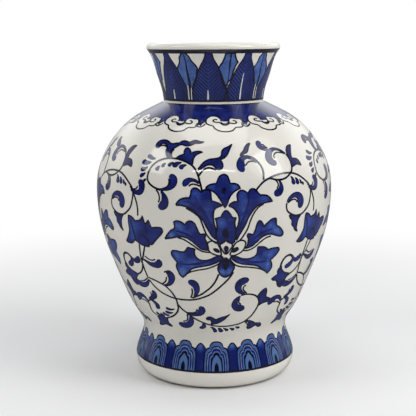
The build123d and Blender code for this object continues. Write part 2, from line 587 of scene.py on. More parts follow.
def bandPatch(lower, upper, columns=360, rows=2):
    # a ring between two heights, of which the lower may be a function of the angle
    angle = np.linspace(0, 360, columns, endpoint=False)
    low = lower(angle) if callable(lower) else np.full(columns, float(lower))
    part = np.linspace(0, 1, rows + 1)[:, None]
    height = low * (1 - part) + upper * part
    flat = np.stack((np.broadcast_to(angle, height.shape), height), -1).reshape(-1, 2)
    index = np.arange((rows + 1) * columns).reshape(rows + 1, columns)
    after = np.roll(index, -1, 1)
    faces = np.stack((index[:-1], after[:-1], after[1:], index[1:]), -1).reshape(-1, 4)
    return flat, faces.tolist()


# scrolls round the body: drawn once, in degrees and millimetres of height, and repeated
scrollSet = {
    "repeats": 4,
    "vine": 0.84,  # half width of the stems
    "edge": 0.7,  # half width of the outlines
    "hookWidth": 1.5,  # how much wider than its listed points each hook is
    "combWidth": 1.5,
    "hookEdge": 0.8,  # dark border left round the blue of a hook
    "lineLift": 0.075,
    "hookLift": 0.045,
    "blueLift": 0.065,
    "leafLift": 0.04,
    "strokeLift": 0.055,
    "heartLift": 0.06,
}

stems = [
    # left scroll of the upper half and its twig
    [(-5.3, 181), (-5.6, 184), (-6.4, 189), (-7.2, 193.5), (-8.6, 198), (-10, 200.6), (-12, 202.6),
     (-15, 204.6), (-18.5, 205.9), (-22, 206), (-25, 205.4), (-28, 203.3), (-30.3, 200), (-31.6, 196),
     (-32, 191.5), (-31.8, 188.5), (-30.8, 186), (-28.5, 183.2), (-26.5, 181.8), (-25, 181.3)],
    [(-7, 193), (-6, 195.3), (-5, 197.3), (-3.8, 198.7), (-2.5, 199.3), (-1, 199), (0.3, 198.2),
     (1.2, 197.6)],
    # right scroll, its second stem and the loop above it
    [(18.5, 179.5), (19.5, 181.8), (21.3, 185), (23, 187.3), (25.5, 189.4), (28.5, 191.2), (32, 192.3),
     (35.5, 192.7), (39, 192.2), (42, 190.6), (45, 187.6), (47.5, 184.2), (49.5, 180.8), (50.3, 177),
     (50.3, 173), (49.8, 169), (49.3, 166), (48, 162.3), (46.5, 160), (44.5, 157.5), (42, 156.5),
     (39.5, 156.8), (36.8, 159), (35, 161.5), (34.4, 165), (34.7, 168.5)],
    [(50.7, 176.5), (51.7, 173), (52.6, 169), (53.1, 165), (53.2, 160), (53, 157.5)],
    [(25, 189.3), (27, 189.3), (29, 188.2), (31, 187.8), (33.5, 188.1), (36, 189.7), (38, 192),
     (39.3, 194), (40, 197), (40.2, 200.5), (39.9, 204), (38.8, 207.3)],
    # stems under the bud
    [(-38.2, 132.8), (-38.6, 128), (-39, 123), (-39.2, 118), (-39.1, 113), (-38.9, 108), (-38.5, 104.5),
     (-38.4, 102)],
    [(-35, 131.5), (-36, 127.5), (-37.3, 122.5), (-38.5, 118.5), (-39.5, 115.5), (-39.3, 114.5)],
    [(44, 103.3), (46, 104.3), (48, 106.6), (49.7, 110), (50.7, 114.5)],
    # lower scrolls
    [(-38.3, 102), (-36, 101.3), (-33.5, 100.2), (-30.5, 98.3), (-27.7, 96), (-25.5, 92.5), (-23.8, 88.5),
     (-22.8, 84.5), (-22.4, 80), (-22.5, 76), (-23.6, 72), (-25.5, 69), (-28.5, 66.2), (-31.5, 64.4),
     (-34, 63.3)],
    [(-37.6, 100), (-36, 95.5), (-33.8, 92), (-31, 89), (-28, 87), (-25, 85.5), (-22, 84.8), (-18, 84.4),
     (-14, 84.6), (-10, 85.7), (-6.5, 87.5), (-3, 90), (0.5, 94), (3.5, 98.5), (6, 102.7), (8, 106.8),
     (9.6, 111.5)],
    [(-13, 86.6), (-10, 88.4), (-7, 90.8), (-4.5, 93.8), (-2, 97.3), (0, 101.5), (1.3, 105.8), (2.2, 110)],
    [(-22.3, 79.5), (-21, 76.5), (-19, 73.5), (-17, 71.3), (-15, 68.5), (-12.5, 66), (-9.5, 63.5),
     (-6, 61.4), (-2, 59.5), (2, 58.6), (6, 58.2), (10, 58.4), (14, 59.2), (17.5, 60.3), (20, 62),
     (22.5, 64.8), (24.5, 68), (26, 71.8), (27, 76), (27.3, 79.5), (26.7, 83), (25, 86.2), (22.5, 88.3),
     (19.5, 89.3), (17, 89.4), (15, 88.5)],
    [(45.3, 76), (45, 73.5), (44.8, 70.5), (45.3, 67.5), (46.8, 65.5), (48.5, 64)],
    [(45.4, 77.5), (47.3, 79.2), (49.5, 79)],
    [(-26.7, 109.2), (-24.5, 110.2), (-22.9, 108.6)],
]

# each hook: its body as (degrees, height, half width), then the fine line that runs beside it
hooks = [
    ([(-27, 181.6, 0.6), (-24, 181.3, 0.8), (-21.3, 182.4, 1.3), (-19.3, 184.6, 1.9), (-18.4, 187.6, 2.2),
      (-18.7, 190.3, 2.2), (-19.8, 191.6, 1.9), (-20.9, 191.6, 1.5)],
     [(-22.8, 181.9), (-21.5, 183.6), (-20.7, 186), (-20.6, 188.5), (-21, 190.3)]),
    ([(-24.3, 180.3, 0.7), (-23.4, 178.3, 1), (-22.6, 175.5, 1.7), (-22.2, 172, 2.3), (-22.8, 169, 2.6),
      (-24.3, 167.8, 2.4), (-25.6, 168, 2)],
     [(-26.8, 180.5), (-25.6, 178.5), (-25, 175.5), (-25, 172.5), (-25.6, 170.6)]),
    ([(-6.6, 187, 0.7), (-8, 188.9, 0.9), (-9.8, 189.8, 1.1), (-11.6, 189.2, 1.7), (-12.7, 187.2, 2),
      (-12.7, 185.3, 2), (-12.5, 184.6, 1.9)],
     [(-6.2, 184.9), (-8, 186.2), (-9.5, 186.5), (-10.6, 185.8), (-11.2, 184.6)]),
    ([(-41, 180, 0.8), (-39.5, 178, 1.1), (-37.3, 177.2, 1.4), (-35.3, 178.2, 1.9), (-34.5, 180.8, 2),
      (-34.6, 183.5, 2.2), (-35.8, 185.5, 2.1), (-36.9, 185.3, 2)],
     [(-41.8, 181.8), (-40.2, 179.9), (-38.6, 179.7), (-37.4, 180.8), (-37, 182.6)]),
    ([(22.9, 188.6, 0.6), (23.3, 192, 0.6), (23.3, 196, 0.6), (22.5, 200.4, 0.6), (20.6, 204.2, 0.8),
      (18.3, 206.3, 1.1), (15.8, 207, 1.2), (13.8, 205.6, 1.7), (12.9, 203, 2.2), (12.9, 200, 2.6),
      (13.7, 198, 2.5), (14.6, 197.7, 2.3)],
     [(20.9, 202.5), (19, 203.6), (17.2, 203.5), (16, 202.3), (15.2, 200.6)]),
    ([(34.8, 168.6, 0.7), (35.8, 171, 1), (37.8, 173.4, 1.3), (40.2, 174, 1.7), (42.2, 172.2, 2.3),
      (43, 168.8, 2.7), (42.4, 165.5, 2.7), (41.2, 164.3, 2.3)],
     [(35.2, 168), (37, 169.9), (38.9, 170.5), (40.2, 169.6), (40.6, 167.6)]),
    ([(30.9, 187.6, 0.6), (31.5, 185.8, 0.8), (31.8, 183, 1.3), (31.6, 180.2, 1.8), (30.6, 178.2, 2.2),
      (29.2, 177.8, 2.5), (28, 178.9, 2.6)],
     [(28.3, 188.8), (29.4, 187.3), (30.2, 185), (30.1, 182.6), (29.3, 181.3)]),
    ([(38.7, 207.4, 0.7), (36.8, 209.8, 0.8), (34.5, 211.5, 0.9), (32, 212, 1.1), (29.9, 210.6, 1.6),
      (28.4, 208.2, 2.1), (28, 205.2, 2.3), (28.8, 202.8, 2.3), (30.4, 202, 2.2), (31.4, 202.9, 1.8)],
     [(38, 207.8), (35.5, 208.9), (33, 209), (31.5, 207.7), (31, 206), (31.3, 204.8)]),
    ([(30.2, 209.2, 0.9), (28.5, 211.3, 1.1), (26.6, 212.6, 1.3), (24.8, 214.6, 1.7), (24.6, 216.8, 2),
      (25.8, 218.2, 1.6)],
     [(26.6, 216.3), (27.6, 214.4), (28.9, 213.1)]),
    ([(-37.9, 119, 0.6), (-36.2, 117.6, 0.9), (-34, 115.7, 1.4), (-31.5, 115, 1.8), (-29.4, 115.9, 2.3),
      (-28.6, 118.2, 2.5), (-29.3, 120.3, 2)],
     [(-36.5, 122.5), (-34.8, 120.5), (-32.8, 119.3), (-31.2, 119.7), (-30.3, 120.8)]),
    ([(-37.9, 100.3, 0.6), (-39, 97.8, 1), (-41, 95, 1.5), (-43.5, 93.6, 1.8), (-46, 94, 2.2),
      (-47.6, 96, 2.4), (-47, 97.7, 2.2)],
     [(-38.6, 101.6), (-40.5, 99.3), (-42.8, 97.5), (-44.8, 97.3)]),
    ([(-28.6, 97, 0.6), (-26.3, 97.4, 1), (-24.3, 99.6, 1.5), (-23.1, 103, 2), (-22.9, 106.2, 2.4),
      (-24, 108.6, 2.4), (-25.6, 108.6, 2.1)],
     [(-29.6, 97.9), (-27.6, 99.7), (-26.3, 102.3), (-25.9, 105.2)]),
    ([(-11.5, 88.2, 0.7), (-10.2, 91, 1.2), (-9.6, 94.5, 1.7), (-9.9, 98, 2.1), (-11.3, 100.9, 2.4),
      (-13.8, 100.4, 2.6)],
     [(-13.6, 86.8), (-12.7, 89.5), (-12.2, 93), (-12.4, 96)]),
    ([(-17.5, 70.6, 0.9), (-14.5, 70, 1), (-11.5, 70.3, 1.3), (-9, 71.8, 1.9), (-8, 74.8, 2.5),
      (-8.5, 76.7, 2.2), (-9.6, 77.2, 1.6)],
     [(-17.8, 71.8), (-15, 71.9), (-12.5, 72.3), (-11, 73.9), (-10.8, 76)]),
    ([(-15.2, 69.5, 0.9), (-15.1, 66.5, 1.3), (-15.6, 63.2, 1.7), (-17.3, 60, 2.2), (-20, 58.3, 2.6),
      (-22.6, 59.3, 3.2), (-23.4, 61.3, 3.4)],
     [(-17.6, 70), (-17.5, 66.5), (-18.3, 64), (-20, 62.8), (-21.5, 62.6)]),
    ([(-7.6, 61.8, 0.9), (-7.3, 60, 1.1), (-7.3, 58.3, 1.3), (-8.5, 57, 1.4), (-10, 56.9, 1.2),
      (-10.6, 57.3, 1)], None),
    ([(17.3, 90.2, 0.7), (15, 91.5, 1.3), (13.3, 94.3, 1.8), (12.9, 98, 2.1), (14, 101.3, 2.4),
      (16.3, 102.3, 2.7), (18, 101, 2.7)],
     [(18.4, 90.5), (16.8, 92.5), (15.8, 94.8), (16, 97), (17.3, 98.3)]),
    ([(15, 87.9, 0.7), (13.2, 85.9, 1.1), (12.1, 83, 1.6), (12, 79.6, 2), (13.4, 77.1, 2.4),
      (15.9, 76.5, 2.7), (17.9, 78, 2.8)],
     [(14.6, 86), (14.2, 83.5), (14.6, 81.2), (15.9, 80.3)]),
    ([(45.3, 76.3, 0.8), (43.8, 79.6, 1.1), (41.9, 81.7, 1.4), (39.3, 82, 1.8), (37.3, 80, 2.6),
      (36.5, 77, 3.2), (36.9, 76, 3)],
     [(44.7, 74.8), (43.2, 76.5), (41, 77.7), (39.2, 77.5)]),
    ([(-43.5, 80.5, 0.7), (-41, 81.2, 1.2), (-39, 82.8, 1.6), (-37.6, 85.2, 2.1), (-37.9, 87.5, 2.2),
      (-39, 88.2, 1.7)],
     [(-42.5, 81.7), (-40.5, 83.3), (-39.9, 85.5), (-40.3, 87.5)]),
    ([(-43, 80, 0.7), (-40.8, 79, 1), (-38.9, 77.3, 1.4), (-37.8, 75.2, 1.8), (-38.6, 73.7, 2.2),
      (-39.9, 73.6, 1.8)], None),
    ([(36.4, 109, 0.75), (36, 112.5, 0.75), (36.2, 116, 0.75), (37.2, 119.3, 0.75), (38.9, 121.4, 0.75),
      (40.8, 121.6, 0.75), (42.4, 120.2, 0.75), (43.8, 118, 0.75)], None),
    ([(41.5, 121, 0.6), (43, 119, 0.8), (44.3, 117, 1.1), (45.8, 116, 1.5), (47.4, 116.8, 2),
      (48.2, 118.8, 2.3), (47.6, 120.4, 1.8)], None),
    ([(43, 118.8, 0.7), (43.2, 116.5, 1.2), (42.8, 114.3, 1.6), (41.5, 112.3, 1.9), (40.2, 112.2, 2.1),
      (39.3, 113.3, 1.6)], None),
]

# rows of teardrop strokes
combs = [
    [(-36.6, 190.9, 1.3), (-35, 191.8, 1.1), (-33.6, 193.9, 0.3)],
    [(-36.8, 196.7, 1.4), (-35.2, 196.4, 1.3), (-33, 198.8, 0.3)],
    [(-37, 202.9, 1.5), (-35.2, 201.8, 1.5), (-31.5, 202.5, 0.3)],
    [(-34.4, 208, 1.3), (-33, 206.2, 1.3), (-29.5, 205.3, 0.3)],
    [(-34, 187, 1.2), (-33.2, 188, 0.8), (-32.6, 189, 0.3)],
    [(-27.7, 195.8, 1.4), (-27.4, 197.8, 1.2), (-26.3, 199.7, 0.3)],
    [(-24.8, 198.6, 1.4), (-24.6, 200.4, 1.1), (-23.4, 202, 0.3)],
    [(-22, 199.8, 1.6), (-21.3, 201.3, 1.2), (-19.5, 203, 0.3)],
    [(-19.3, 199.2, 1.7), (-18.5, 201.2, 1.6), (-17, 202.5, 1), (-15.4, 203, 0.3)],
    [(-16.2, 198.2, 1.7), (-15.3, 199.7, 1.5), (-14.2, 200.8, 0.9), (-12.8, 201.2, 0.3)],
    [(38.9, 182.6, 1.6), (39.1, 185.3, 1.5), (38.7, 187.8, 0.9), (37.9, 189.8, 0.3)],
    [(41.4, 182.4, 1.6), (41.6, 185, 1.3), (41.1, 187, 0.8), (40.5, 188.3, 0.3)],
    [(43.6, 182.6, 1.2), (43.8, 184.3, 0.9), (43, 186.3, 0.3)],
    [(45.3, 181.3, 1.1), (45.1, 182.9, 0.8), (44.6, 184.3, 0.3)],
    [(-3, 57.8, 0.4), (-1, 56.3, 0.9), (0.2, 53.8, 1.2), (1, 51.9, 1.4)],
    [(2.3, 56.5, 0.5), (3.5, 55.3, 1), (4.6, 53.3, 1.4), (5.2, 51.8, 1.5)],
    [(6, 56.3, 0.4), (8, 54.8, 0.9), (9.5, 53, 1.4)],
    [(10.5, 56, 0.4), (12.3, 54.9, 0.9), (14, 53.5, 1.4)],
    [(14.5, 56.9, 0.4), (16.3, 56.2, 0.9), (17.9, 55.2, 1.2)],
    [(-31.4, 74.6, 1.1), (-30, 73.4, 1.1), (-28, 73.2, 0.8), (-25.2, 74.3, 0.3)],
    [(-32.8, 70.6, 0.9), (-31, 69.7, 1.1), (-28.8, 69.6, 0.8), (-27, 70.4, 0.3)],
    [(-35.3, 68.9, 1), (-33.7, 67.4, 1), (-31.7, 66.7, 0.8), (-30.3, 67.2, 0.3)],
    [(-38, 67.2, 1), (-36.5, 66, 1), (-34.5, 65, 0.6)],
    [(-41.5, 67.3, 1.1), (-40, 66.3, 1), (-38.5, 65.2, 0.5)],
]

# leaves filled with thick blue; a third number 1 marks a corner
leaves = [
    [(-18.8, 206.1, 1), (-17.3, 208), (-15.6, 209.1), (-14.9, 209.6, 1), (-15, 211.5), (-14.6, 213.6),
     (-13.8, 214.5), (-12.6, 213.6), (-11.9, 212), (-11.3, 210.4, 1), (-9.8, 211.4), (-7.5, 211.9),
     (-5.6, 211.2, 1), (-7.5, 210.2), (-9, 208.6), (-9.9, 206.3), (-10.1, 203.7), (-10.2, 201.3, 1),
     (-12.5, 203.3), (-15.5, 205.2)],
    [(-22.9, 206.2, 1), (-24.1, 208.4), (-25, 211.3), (-24.9, 214.4), (-26, 216.5), (-27.9, 217.2),
     (-29.2, 216), (-29.6, 214.2), (-30.6, 213.6), (-31.7, 214.4), (-31.9, 216.2), (-31, 218.5),
     (-29, 219.7), (-26.8, 219.7), (-24.9, 218.6), (-23.4, 217.4), (-22, 217.2), (-20.3, 217.8),
     (-19, 217.8), (-17.7, 219), (-16.2, 219.7), (-14.5, 219.3), (-12.8, 218.8), (-11.2, 219.8),
     (-9.8, 220.2), (-8, 219.5), (-5.2, 219, 1), (-7.5, 218), (-9.5, 218), (-11.4, 216.8), (-13.2, 216),
     (-15, 216), (-16.7, 216.7), (-18.2, 216.4), (-19.7, 214.9), (-21.3, 213.3), (-22.2, 211),
     (-22.3, 208.8), (-21.8, 206.3, 1)],
    [(-7.4, 198, 1), (-6.2, 200.8), (-4.6, 203.8), (-2.5, 205.6), (0.5, 206.3), (2.5, 207), (3.6, 208.2),
     (3.9, 210), (4.2, 212), (5.4, 214), (7, 214.9), (9.7, 217.3, 1), (7.9, 212.8), (6.8, 209.5),
     (5.2, 206.9), (3.3, 205.2), (4, 203), (4.2, 200.3), (3.2, 198.1), (1.5, 198.2), (0.6, 199.8),
     (-0.4, 201.1), (-1.8, 201.7), (-3.5, 201.1), (-4.8, 199.8), (-6, 198.4)],
    [(39.7, 209, 1), (40.5, 211), (41.6, 212.8), (43, 213.7), (44.9, 213.9, 1), (43.9, 211.8),
     (42.9, 209), (42.1, 206.4), (42, 204.8), (42.3, 203.2, 1), (44, 203.2), (45.5, 202.2), (46.4, 200),
     (46.6, 197.2, 1), (45.3, 198.1), (43.6, 198.6), (41.8, 197.8), (40, 196.6, 1), (40.3, 200),
     (40.1, 204)],
    [(36.2, 157.8, 1), (37, 154.8), (38, 153.2), (38.1, 150.8), (38.2, 149), (39.4, 147.2), (40.3, 144.6),
     (42.3, 142.5, 1), (41.5, 145), (41.5, 148.5), (41.8, 152), (42.8, 155), (43.6, 156.4, 1),
     (41.5, 155.9), (39, 156.6)],
    [(36.2, 112, 1), (35.2, 110.3), (34.8, 108), (35.4, 105.6), (35.5, 105, 1), (33.8, 103.6),
     (32.1, 101.5, 1), (33.6, 99.8), (35.2, 99.4), (36.2, 98.2), (37, 95.5), (38.2, 93.2),
     (40.6, 91.9, 1), (41, 95), (41.8, 98.3), (43, 101), (44.5, 102.7, 1), (43.5, 103.9), (41.5, 104.8),
     (39.3, 106.3), (37.6, 108.7), (36.7, 112, 1)],
    [(25.6, 86.3, 1), (26.8, 89.6), (28.4, 92.1), (29.9, 93.2, 1), (30.8, 90.5), (31.1, 87.3),
     (31.6, 84.3), (33.2, 83.3), (34.5, 82.5, 1), (34.4, 80), (32.5, 79.4), (30, 78.8), (27.8, 76.9, 1),
     (27.2, 80.5), (26.6, 83.5)],
    [(-44.3, 54, 1), (-42.8, 56.3), (-41.6, 59.5), (-41.9, 62.3, 1), (-40.6, 64), (-39, 65.2), (-37, 65),
     (-35.2, 64), (-33.2, 63.1, 1), (-33.6, 61), (-33.9, 58.8), (-33, 57), (-31.8, 55.3, 1),
     (-33.6, 54.7), (-35.3, 55.6), (-37.5, 56), (-39.8, 55), (-42, 54.2)],
    [(21, 62.9, 1), (24, 62.2), (26.5, 60.9), (28.8, 59), (31, 58.4), (33, 58), (34.6, 56.5),
     (35.3, 54.3, 1), (34, 53.9), (32.3, 54.8), (30.3, 56), (28.7, 54.9), (26.8, 53.7), (24.8, 53.6),
     (23.8, 55.2), (24.3, 58.6), (23.9, 60.2), (22.5, 61.6)],
    [(-5.2, 66.3), (-4.3, 68), (-2.5, 68.3), (-0.8, 67), (0.8, 65.5, 1), (3, 67), (5.5, 68.2), (8, 69.3),
     (9.5, 70.8, 1), (8.2, 68.7), (6.5, 66), (4.5, 63.7), (2, 61.8), (-0.3, 61), (-2.5, 60.7, 1),
     (-1.8, 62.4), (-2, 64), (-3, 65.4), (-4.2, 65.3)],
    [(19.5, 217.5, 1), (18, 216.8), (16.5, 214.8), (15, 211.5), (13.6, 209.6), (13.2, 208, 1),
     (14, 207.9), (15, 209.6), (16.8, 210.6), (17.6, 212.6), (18.3, 214.8)],
    # the bud
    [(-42.9, 157, 1), (-43.2, 153), (-43.2, 148), (-43.3, 143.5), (-44.2, 140), (-45.5, 136.5),
     (-47, 133.3, 1), (-45, 132.3), (-43, 132.6), (-41.6, 134.2), (-40.5, 136, 1), (-39.5, 135),
     (-38.3, 133.7), (-36.5, 132.4), (-34.5, 131.7), (-32.5, 131.8), (-31.7, 133.8, 1), (-30.3, 134),
     (-29.2, 136), (-27.8, 138.6), (-26.2, 141.2), (-24.8, 144), (-23.9, 146.7), (-24.6, 149.1),
     (-26.5, 149.4), (-28.5, 149), (-29.6, 148.6, 1), (-30, 150), (-30.5, 152.5), (-31.1, 154.8, 1),
     (-32.2, 152.6), (-33.2, 150.8, 1), (-33.4, 153), (-33.9, 156), (-34.3, 158, 1), (-34.9, 155.8),
     (-36, 154.1), (-37.5, 153.3), (-38.9, 153, 1), (-39.8, 154.8), (-41, 156.2), (-42, 156.7)],
]
leafVeins = [
    [(-20.6, 206.6), (-21.6, 208.8), (-21.6, 211), (-20.5, 213)],
    [(-24.8, 214.2), (-26.5, 215.5), (-28.3, 215.5), (-29.3, 214.8)],
    [(-39.9, 136.3), (-40.3, 141), (-41, 147), (-42, 153)],
    [(-31.7, 134), (-33, 138), (-36, 142)],
    [(20.2, 62), (21.7, 60.6), (23, 59), (23.7, 57.2)],
]
leafSpots = [(-42, 148, 6, 0.9), (-41.5, 138, 4, 0.8), (-38, 148, 6, 0.35), (-28, 141, 5, 0.3),
             (-35.5, 217, 4, 0.2), (40, 101, 4, 0.3)]

# the large open flower
petals = [
    [(-23.1, 140, 1), (-21.2, 145), (-19.7, 147.9), (-18.1, 149.7), (-17.9, 152.6), (-18.2, 155),
     (-16.5, 156.2), (-14.7, 155.3), (-13.1, 152.9, 1), (-12.4, 155), (-10.7, 156.5), (-8.8, 154.7),
     (-7.8, 150.9), (-6.8, 146.8), (-6.1, 145.3, 1), (-4.1, 145.3), (-4.1, 141.5), (-3.4, 138.5),
     (-2.6, 131.5, 1), (-4.1, 131.8), (-5.9, 132.6), (-7.9, 135.6), (-10, 139.1), (-12.4, 141.8),
     (-14.7, 142.9), (-17.1, 142.4), (-20, 141.2)],
    [(4.3, 124.4, 1), (1.8, 121.2), (-1.2, 118.8), (-5, 117.2), (-8.8, 115.9), (-11.2, 114.4),
     (-12.6, 112.1), (-14.1, 109.4), (-16.5, 105.9, 1), (-17.6, 107.9), (-18.4, 111.5), (-19, 115.6),
     (-18.2, 119.7, 1), (-19.7, 123.2), (-20.7, 127.4), (-20.3, 129.7), (-18.5, 130.3), (-16.5, 129.7),
     (-14.4, 129.4, 1), (-13.1, 131.5), (-12.4, 133.5), (-10.9, 133.2), (-9, 132.4, 1), (-9.3, 128.5),
     (-8.5, 125), (-6.8, 122.9), (-4.4, 122.4), (-1.8, 123.5), (0.6, 125.6), (3.2, 126.5)],
    [(15.2, 133.8), (15.6, 137.9), (15.7, 140.9), (15.2, 143.2), (15.4, 145.3, 1), (16.4, 144.7),
     (17.9, 144.1, 1), (18.8, 147.9), (19.6, 153.2), (20.4, 155.6, 1), (21.6, 154.7), (22.4, 152.4),
     (23, 150.6, 1), (24.6, 153.2), (26.4, 155.6), (28.2, 156.5), (29.1, 155.9, 1), (29.2, 153.2),
     (29.4, 150.6), (31.1, 148.5), (32.6, 145.6), (33.5, 142.4), (33.2, 140.9), (31.7, 140.6),
     (29.4, 141.8), (27.6, 142.9), (25.5, 143.2), (23.8, 142.6), (22, 140.9), (19.9, 137.4),
     (17.9, 134.4), (15.8, 132.9), (14.6, 132.4, 1)],
    [(7.6, 125.6, 1), (10.8, 125.3), (13.2, 123.5), (15.5, 122.9), (18.2, 123.5), (19.9, 125),
     (20.7, 127.6), (20.7, 130.3), (20.8, 132.9, 1), (22.6, 132.9), (24.4, 132.1), (26.1, 129.7, 1),
     (27.9, 130.3), (30.2, 130.6), (32, 130.3), (32.6, 128.5), (31.7, 125), (30.2, 122.1),
     (28.6, 119.7, 1), (29.6, 116.8), (30.2, 113.2), (29.6, 110.3), (28.3, 107.6, 1), (27, 109.7),
     (24.9, 111.8), (22.6, 115), (20.2, 116.5), (17.3, 117.4), (13.8, 118.5), (11.4, 120), (9.1, 122.6)],
    [(-17, 169, 1), (-16.5, 171.3), (-15.1, 173.8), (-13, 175.3), (-11, 175.5, 1), (-10.3, 178),
     (-10.1, 181.3), (-9.2, 183.3), (-7.8, 183.3), (-6.5, 181.8), (-5.6, 179.8, 1), (-5, 181.5),
     (-3.6, 182.1), (-2.1, 181.7), (-1.4, 179.5), (-1.3, 176), (-0.9, 173.2, 1), (0.8, 172.2),
     (2.3, 171.2), (3.6, 169.2, 1), (1.8, 168.3), (0.4, 166.8), (-0.2, 164), (-0.3, 159.5), (0, 154.6),
     (0.7, 149.5), (1, 144.5), (0.8, 141, 1), (-0.6, 143.2), (-2.1, 147.4), (-3.5, 152.1), (-5, 157.4),
     (-7.1, 161.8), (-9.6, 165.8), (-12.5, 168.3), (-15, 169.2)],
    [(4.6, 194.2), (3, 193.3), (2, 191), (1.4, 188.3), (1, 187, 1), (-0.5, 186.8), (-2, 186),
     (-3.2, 184.5), (-3.7, 182.8, 1), (-2.3, 182.2), (-0.5, 181), (1, 178.8), (2.5, 175), (3.8, 171),
     (4.8, 167.5, 1), (5.8, 171), (6.6, 175), (7.8, 178.5), (9.4, 181), (11.7, 182.9, 1), (11.3, 184.5),
     (10.2, 186.3), (8.8, 186.9), (7.3, 187, 1), (6.9, 189), (6.5, 191.5), (5.9, 193.3)],
    [(5, 165.5, 1), (3.7, 162.5), (3.1, 160, 1), (2.2, 159.5), (0.6, 158.8, 1), (1.2, 154.4),
     (1.3, 149.7), (0.9, 144.4), (1.2, 141.5), (2.1, 137.4), (5.3, 139.7, 1), (8.9, 137.9), (9.6, 142.6),
     (9.8, 147.4), (9.4, 151.5), (9.2, 155.6), (9.8, 159.1, 1), (8.3, 159.3), (7.7, 160.3, 1),
     (7, 162.6), (6, 164.5)],
    [(6.4, 168.8, 1), (7.4, 171), (9, 172.2), (10.6, 172.2, 1), (10.3, 175), (10.3, 178.2),
     (11.2, 180.7), (12.5, 181.3), (14, 180.2), (15.3, 177.8, 1), (15.7, 180.2), (16.8, 182.1),
     (18.2, 181.9), (19.4, 180), (20.2, 178), (21, 176.7, 1), (22.8, 176.6), (24.6, 175.6),
     (25.8, 173.6), (26.8, 170.8, 1), (24.8, 170.6), (22.5, 170), (20.3, 168.9), (18.4, 166.4),
     (16.8, 162.8), (15.3, 158.6), (14.3, 154), (12.9, 149.1), (11.3, 144), (10.2, 139.9, 1), (9.9, 144),
     (10, 149), (10.6, 152.5), (11.1, 157.4), (10.7, 161.7), (9.6, 165), (8.2, 167.6)],
    [(5.3, 125, 1), (3.2, 120.5), (1.8, 116.2), (2.2, 112.1), (3.8, 108.2), (5.7, 106.8), (7.6, 108.5),
     (9.1, 112.1), (9.9, 116.2), (8.2, 120.3)],
]
# lines that leave a white margin beside the petals
margins = [
    [(-16.8, 141.8), (-14.1, 140.6), (-11.8, 138.2), (-9.7, 135.6), (-7.6, 132.6), (-5.6, 130.6),
     (-3.5, 129.9), (-1.8, 129.7)],
    [(4.1, 123.8), (1.9, 119.1), (-0.6, 116.8), (-3.5, 115), (-7.1, 113.8), (-10, 112.6), (-12.4, 111.2),
     (-13.8, 109.7)],
    [(27, 141.5), (24.4, 140.3), (22.3, 137.9), (20.2, 134.7), (18.2, 132.1), (15.8, 130.6),
     (13.8, 130.6)],
    [(7.3, 124.4), (9.1, 119.7), (10.8, 117.4), (13.8, 115.9), (16.7, 115.3), (19.6, 114.4),
     (22.6, 113.2), (24.9, 111.8)],
    [(-12.5, 167.2), (-10.3, 165), (-8.2, 162.5), (-6.5, 159.7), (-5.3, 154.4), (-4.4, 149.7),
     (-3.5, 145.6), (-2.1, 142.1), (-0.6, 139.7), (1.2, 137.4)],
    [(22.5, 169), (20.5, 167.5), (19, 165), (17.3, 160.3), (16.1, 155), (15.2, 149.7), (13.8, 145),
     (12.3, 140.9), (11, 138.5)],
]
heartOvals = [
    [(5.5, 128), (3.6, 132), (2.7, 135.8), (3.6, 138.6), (5.3, 139.8), (7.1, 138.7), (8.4, 135.8),
     (7.4, 132)],
    [(3.2, 127), (0.3, 127.6), (-1.8, 129.7), (-3.1, 133.5), (-3.2, 136.5), (-2.6, 138.6), (-1, 139.7),
     (0.9, 138.5), (2.1, 135.6), (3, 131)],
    [(7.6, 126.8), (9.1, 126.5), (11.4, 127.9), (13.5, 130.9), (14.5, 135), (14.4, 138.2),
     (12.9, 139.7), (10.8, 138.8), (9.4, 136.5), (8.4, 132)],
]
heartDrops = [
    [(5.4, 135.6), (4.3, 133.5), (4.8, 130.5), (5.5, 127.6), (6.3, 130.5), (6.8, 133.5)],
    [(-0.6, 133), (0.9, 133.5), (2.1, 132.1), (2.6, 129.3), (1, 129.6)],
    [(8.4, 129.2), (8.2, 130.9), (9.4, 133.5), (11.1, 133.8), (11.6, 132.1), (10.5, 130)],
    [(5.3, 125, 1), (3.9, 118), (5.6, 113.2), (7.1, 118)],
    [(4.5, 184.6), (5.5, 181.6), (4.5, 178.4), (3.4, 181.6)],
    [(5.2, 150.5), (6.6, 147), (5.6, 141.5), (3.9, 143.5), (3.6, 148)],
]
# dark strokes the brush left along each petal, as (degrees, height, half width)
petalStrokes = [
    [(-0.5, 148, 0.8), (-2.8, 158, 1.1), (-5.6, 167, 1.2), (-7.6, 173, 0.8), (-8.3, 177, 0.3)],
    [(-3, 160, 0.7), (-6.5, 167, 0.8), (-10.5, 171.5, 0.6), (-14, 172.5, 0.3)],
    [(11, 148, 0.8), (13, 158, 1.1), (14.8, 167, 1.2), (15.4, 173, 0.8), (15, 177, 0.3)],
    [(13.5, 160, 0.7), (17, 167, 0.8), (20.5, 171, 0.6), (24, 172.5, 0.3)],
    [(-5, 137.5, 0.8), (-9.5, 142, 1.1), (-13, 145.5, 1.0), (-17.5, 147.5, 0.3)],
    [(15.5, 138, 0.8), (19.5, 142, 1.1), (23, 145.5, 1.0), (27.5, 147.5, 0.3)],
    [(-0.5, 123.5, 0.7), (-5, 120.5, 1.1), (-10, 118.8, 1.1), (-16.5, 118.5, 0.3)],
    [(11.5, 123.5, 0.7), (15.5, 120.5, 1.1), (20.5, 119.2, 1.1), (26.5, 119.5, 0.3)],
]
